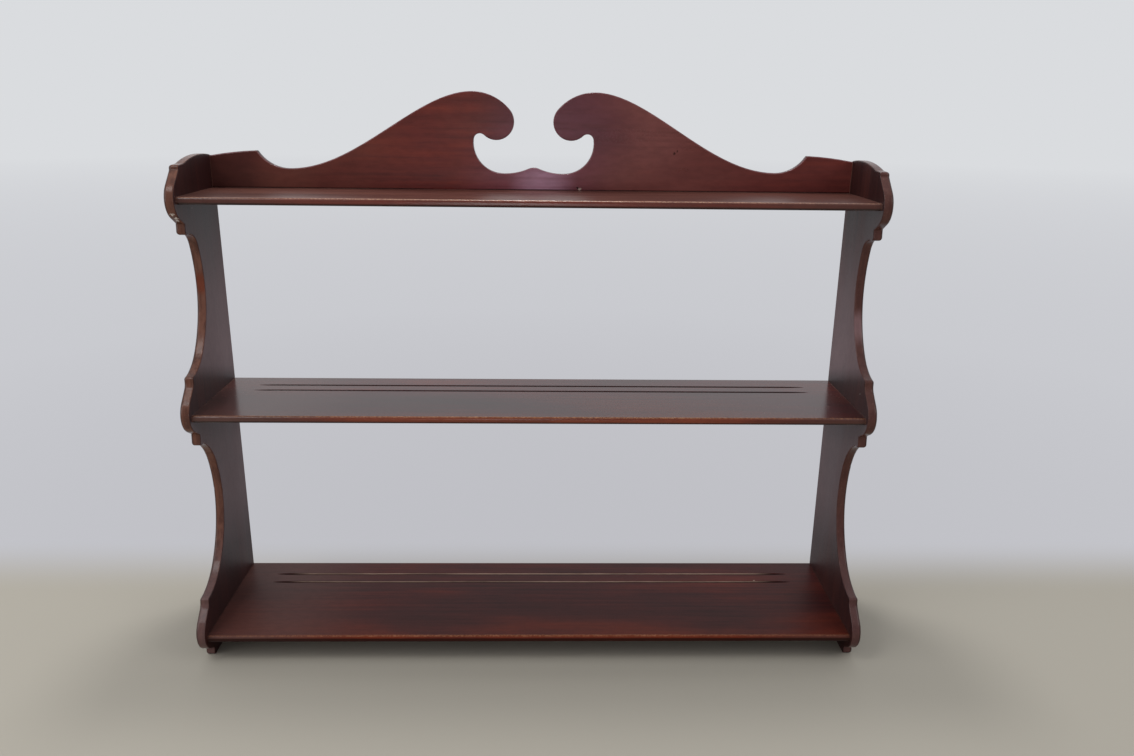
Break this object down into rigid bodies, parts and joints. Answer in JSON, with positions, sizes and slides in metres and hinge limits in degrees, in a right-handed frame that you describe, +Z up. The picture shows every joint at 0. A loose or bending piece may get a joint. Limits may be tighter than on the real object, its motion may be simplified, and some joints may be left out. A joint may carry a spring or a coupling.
{
  "type": "hanging wall shelf",
  "caption": "Open wooden wall shelf with scroll cut sides, stepped shelves with plate grooves and a swan neck crest board, hung from keyhole plates.",
  "frame": {"origin": "on the back plane, midway between the entry holes of the two keyhole plates", "axes": "+X to the viewer's right along the shelves, +Y to the wall, +Z up"},
  "size_m": [0.914, 0.212, 0.7608],
  "materials": {
    "mahogany": "varnished",
    "steel": "satin",
    "brass": "aged"
  },
  "bodies": {
    "root": {"left_side_panel": "mahogany", "right_side_panel": "mahogany", "top_shelf": "mahogany", "middle_shelf": "mahogany", "lower_shelf": "mahogany", "crest_board": "mahogany", "crest_screws": "steel", "left_shelf_pins": "steel", "right_shelf_pins": "steel", "left_hanger_plate": "brass", "right_hanger_plate": "brass", "hanger_screws": "brass"}
  },
  "joints": []
}
